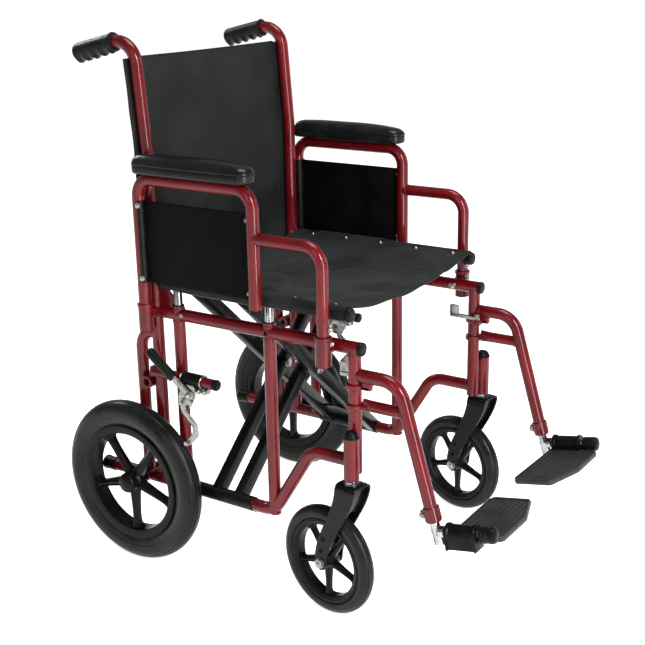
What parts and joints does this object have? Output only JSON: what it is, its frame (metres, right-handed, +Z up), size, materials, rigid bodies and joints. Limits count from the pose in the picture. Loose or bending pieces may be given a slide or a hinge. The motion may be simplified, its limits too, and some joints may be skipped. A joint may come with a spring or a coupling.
{
  "type": "transport wheelchair",
  "caption": "Folding transport wheelchair with tubular side frames, scissor cross-brace, sling seat and back, padded lift-off arms and swing-away footrests.",
  "frame": {"origin": "on the floor under the middle of the chair's bounding box", "axes": "+Z up, -Y the way the sitter faces, +X the sitter's left"},
  "size_m": [0.568, 0.8849, 0.9791],
  "materials": {
    "red_paint": "clear-coated candy red",
    "black_paint": "gloss black powder coat",
    "chrome": "bright chrome",
    "steel": "zinc plated",
    "black_plastic": "moulded black plastic",
    "pad": "glossy moulded urethane skin",
    "grip": "soft black vinyl",
    "tyre": "solid grey-black tyre",
    "fabric": "black nylon upholstery weave"
  },
  "bodies": {
    "frame_r": {"back_cane_r": "red_paint", "upper_frame_r": "red_paint", "lower_rail_r": "red_paint", "front_upright_r": "red_paint", "rear_hoop_r": "red_paint", "end_caps_r": "black_plastic", "handle_grip_r": "grip", "frame_screws_r": "steel", "rear_axle_r": "steel", "brake_clamp_r": "black_plastic", "back_sling": "fabric"},
    "frame_l": {"back_cane_l": "red_paint", "upper_frame_l": "red_paint", "lower_rail_l": "red_paint", "front_upright_l": "red_paint", "rear_hoop_l": "red_paint", "end_caps_l": "black_plastic", "handle_grip_l": "grip", "frame_screws_l": "steel", "rear_axle_l": "steel", "brake_clamp_l": "black_plastic"},
    "brace_b": {"cross_brace_b": "black_paint"},
    "brace_a": {"cross_brace_a": "black_paint", "pivot_bolts": "steel"},
    "seat_r": {"seat_rail_r": "black_paint", "guide_posts_r": "chrome", "seat_sling": "fabric"},
    "seat_l": {"seat_rail_l": "black_paint", "guide_posts_l": "chrome"},
    "arm_r": {"arm_frame_r": "red_paint", "arm_pad_r": "pad", "skirt_guard_r": "black_plastic"},
    "hanger_r": {"footrest_hanger_r": "red_paint"},
    "latch_r": {"footrest_latch_r": "steel"},
    "foot_post_r": {"foot_post_r": "chrome"},
    "footplate_r": {"footplate_r": "black_plastic"},
    "rear_wheel_r": {"rear_tyre_r": "tyre", "rear_rim_r": "black_plastic"},
    "fork_r": {"caster_fork_r": "black_paint", "caster_axle_r": "steel"},
    "caster_r": {"caster_tyre_r": "tyre", "caster_rim_r": "black_plastic"},
    "lever_r": {"brake_lever_r": "steel"},
    "shoe_r": {"brake_shoe_r": "steel"},
    "arm_l": {"arm_frame_l": "red_paint", "arm_pad_l": "pad", "skirt_guard_l": "black_plastic"},
    "hanger_l": {"footrest_hanger_l": "red_paint"},
    "latch_l": {"footrest_latch_l": "steel"},
    "foot_post_l": {"foot_post_l": "chrome"},
    "footplate_l": {"footplate_l": "black_plastic"},
    "rear_wheel_l": {"rear_tyre_l": "tyre", "rear_rim_l": "black_plastic"},
    "fork_l": {"caster_fork_l": "black_paint", "caster_axle_l": "steel"},
    "caster_l": {"caster_tyre_l": "tyre", "caster_rim_l": "black_plastic"},
    "lever_l": {"brake_lever_l": "steel"},
    "shoe_l": {"brake_shoe_l": "steel"}
  },
  "joints": [
    {"name": "fold", "type": "hinge", "parent": "frame_r", "child": "brace_b", "pos_m": [-0.212, 0.0985, 0.15], "axis": [0, -1, 0], "range_deg": [0, 29.4], "deforming": ["seat_sling", "back_sling"]},
    {"name": "brace_cross", "type": "hinge", "parent": "brace_b", "child": "brace_a", "pos_m": [0, 0.0985, 0.343], "axis": [0, -1, 0], "range_deg": [-59, 0]},
    {"name": "side_turn_l", "type": "hinge", "parent": "brace_a", "child": "frame_l", "pos_m": [0.212, 0.0985, 0.15], "axis": [0, -1, 0], "range_deg": [0, 29.5]},
    {"name": "seat_turn_r", "type": "hinge", "parent": "brace_a", "child": "seat_r", "pos_m": [-0.212, 0.0985, 0.536], "axis": [0, -1, 0], "range_deg": [0, 29.5]},
    {"name": "seat_turn_l", "type": "hinge", "parent": "brace_b", "child": "seat_l", "pos_m": [0.212, 0.0985, 0.536], "axis": [0, -1, 0], "range_deg": [-29.5, 0]},
    {"name": "arm_lift_r", "type": "slide", "parent": "frame_r", "child": "arm_r", "axis": [0, 0, 1], "range_m": [0, 0.06]},
    {"name": "hanger_swing_r", "type": "hinge", "parent": "frame_r", "child": "hanger_r", "pos_m": [-0.212, -0.1775, 0.4], "axis": [0, 0, -1], "range_deg": [0, 90]},
    {"name": "latch_press_r", "type": "hinge", "parent": "hanger_r", "child": "latch_r", "pos_m": [-0.193, -0.1935, 0.427], "axis": [0, 0, -1], "range_deg": [0, 12], "stiffness_Nm_per_rad": 0.6},
    {"name": "post_slide_r", "type": "slide", "parent": "hanger_r", "child": "foot_post_r", "axis": [0, -0.281, -0.9597], "range_m": [0, 0.04]},
    {"name": "footplate_flip_r", "type": "hinge", "parent": "foot_post_r", "child": "footplate_r", "pos_m": [-0.212, -0.3295, 0.197], "axis": [0, -0.9823, 0.1874], "range_deg": [0, 84]},
    {"name": "rear_wheel_spin_r", "type": "hinge", "parent": "frame_r", "child": "rear_wheel_r", "pos_m": [-0.256, 0.2865, 0.156], "axis": [1, 0, 0], "continuous": true},
    {"name": "caster_swivel_r", "type": "hinge", "parent": "frame_r", "child": "fork_r", "pos_m": [-0.2376, -0.1855, 0.3], "axis": [0, 0, 1], "continuous": true},
    {"name": "caster_spin_r", "type": "hinge", "parent": "fork_r", "child": "caster_r", "pos_m": [-0.229, -0.13118, 0.098], "axis": [0.9877, -0.1564, 0], "continuous": true},
    {"name": "brake_lever_turn_r", "type": "hinge", "parent": "frame_r", "child": "lever_r", "pos_m": [-0.2478, 0.1455, 0.35], "axis": [1, 0, 0], "range_deg": [0, 70]},
    {"name": "brake_shoe_turn_r", "type": "hinge", "parent": "frame_r", "child": "shoe_r", "pos_m": [-0.2534, 0.1595, 0.334], "axis": [1, 0, 0], "range_deg": [0, 5.65]},
    {"name": "arm_lift_l", "type": "slide", "parent": "frame_l", "child": "arm_l", "axis": [0, 0, 1], "range_m": [0, 0.06]},
    {"name": "hanger_swing_l", "type": "hinge", "parent": "frame_l", "child": "hanger_l", "pos_m": [0.212, -0.1775, 0.4], "axis": [0, 0, 1], "range_deg": [0, 90]},
    {"name": "latch_press_l", "type": "hinge", "parent": "hanger_l", "child": "latch_l", "pos_m": [0.193, -0.1935, 0.427], "axis": [0, 0, 1], "range_deg": [0, 12], "stiffness_Nm_per_rad": 0.6},
    {"name": "post_slide_l", "type": "slide", "parent": "hanger_l", "child": "foot_post_l", "axis": [0, -0.281, -0.9597], "range_m": [0, 0.04]},
    {"name": "footplate_flip_l", "type": "hinge", "parent": "foot_post_l", "child": "footplate_l", "pos_m": [0.212, -0.3295, 0.197], "axis": [0, 0.9823, -0.1874], "range_deg": [0, 84]},
    {"name": "rear_wheel_spin_l", "type": "hinge", "parent": "frame_l", "child": "rear_wheel_l", "pos_m": [0.256, 0.2865, 0.156], "axis": [1, 0, 0], "continuous": true},
    {"name": "caster_swivel_l", "type": "hinge", "parent": "frame_l", "child": "fork_l", "pos_m": [0.2376, -0.1855, 0.3], "axis": [0, 0, 1], "continuous": true},
    {"name": "caster_spin_l", "type": "hinge", "parent": "fork_l", "child": "caster_l", "pos_m": [0.2462, -0.13118, 0.098], "axis": [0.9877, -0.1564, 0], "continuous": true},
    {"name": "brake_lever_turn_l", "type": "hinge", "parent": "frame_l", "child": "lever_l", "pos_m": [0.2478, 0.1455, 0.35], "axis": [1, 0, 0], "range_deg": [0, 70]},
    {"name": "brake_shoe_turn_l", "type": "hinge", "parent": "frame_l", "child": "shoe_l", "pos_m": [0.2534, 0.1595, 0.334], "axis": [1, 0, 0], "range_deg": [0, 5.65]}
  ],
  "couplings": [
    {"joint": "brace_cross", "follows": "fold", "ratio": -2},
    {"joint": "side_turn_l", "follows": "fold", "ratio": 1},
    {"joint": "seat_turn_r", "follows": "fold", "ratio": 1},
    {"joint": "seat_turn_l", "follows": "fold", "ratio": -1},
    {"joint": "footplate_flip_r", "follows": "fold", "ratio": 2.85},
    {"joint": "brake_shoe_turn_r", "follows": "brake_lever_turn_r", "ratio": 0.08},
    {"joint": "footplate_flip_l", "follows": "fold", "ratio": 2.85},
    {"joint": "brake_shoe_turn_l", "follows": "brake_lever_turn_l", "ratio": 0.08}
  ]
}
